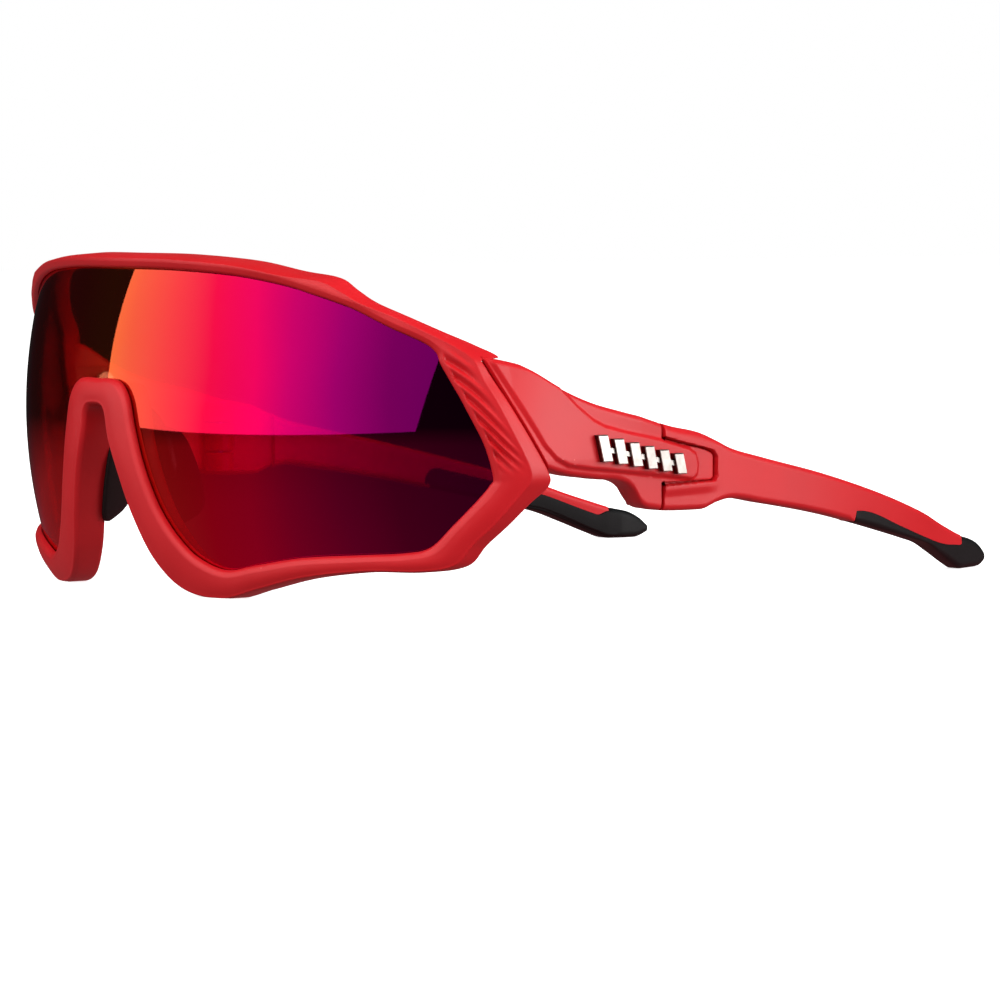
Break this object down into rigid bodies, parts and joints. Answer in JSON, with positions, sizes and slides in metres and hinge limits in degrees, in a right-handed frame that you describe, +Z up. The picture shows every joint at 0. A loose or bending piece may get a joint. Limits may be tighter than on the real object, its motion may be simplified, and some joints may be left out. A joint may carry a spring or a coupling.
{
  "type": "wraparound sport sunglasses",
  "caption": "Full-rim wraparound sport sunglasses with a one-piece mirrored shield lens, nose pads and folding temples with rubber tips.",
  "frame": {"origin": "on the supporting surface under the middle of the bounding box, with the temples open", "axes": "+X to the wearer's left, +Y from the lens back along the temples, +Z up"},
  "size_m": [0.1472, 0.1588, 0.058],
  "materials": {
    "matte_red": "fine matte paint on moulded nylon",
    "mirror_lens": "mirror-coated polycarbonate, orange to purple",
    "black_rubber": "matte soft rubber",
    "black_plastic": "fine matte",
    "screw_steel": "turned steel",
    "badge_metal": "polished top, dark sides"
  },
  "bodies": {
    "front": {"front_frame": "matte_red", "shield_lens": "mirror_lens", "nose_bracket": "black_plastic", "nose_pad_left": "black_rubber", "nose_pad_right": "black_rubber", "left_end_piece": "matte_red", "left_end_piece_screw_upper": "screw_steel", "left_end_piece_screw_lower": "screw_steel", "left_badge": "badge_metal", "left_hinge_screw": "screw_steel", "left_hinge_nut": "screw_steel", "right_end_piece": "matte_red", "right_end_piece_screw_upper": "screw_steel", "right_end_piece_screw_lower": "screw_steel", "right_badge": "badge_metal", "right_hinge_screw": "screw_steel", "right_hinge_nut": "screw_steel"},
    "left_arm": {"left_temple": "matte_red", "left_temple_tip": "black_rubber"},
    "right_arm": {"right_temple": "matte_red", "right_temple_tip": "black_rubber"}
  },
  "joints": [
    {"name": "left_temple_fold", "type": "hinge", "parent": "front", "child": "left_arm", "pos_m": [0.0646, -0.01088, 0.0218], "axis": [0, 0, 1], "range_deg": [0, 90]},
    {"name": "right_temple_fold", "type": "hinge", "parent": "front", "child": "right_arm", "pos_m": [-0.0646, -0.01088, 0.0218], "axis": [0, 0, -1], "range_deg": [0, 80]}
  ]
}
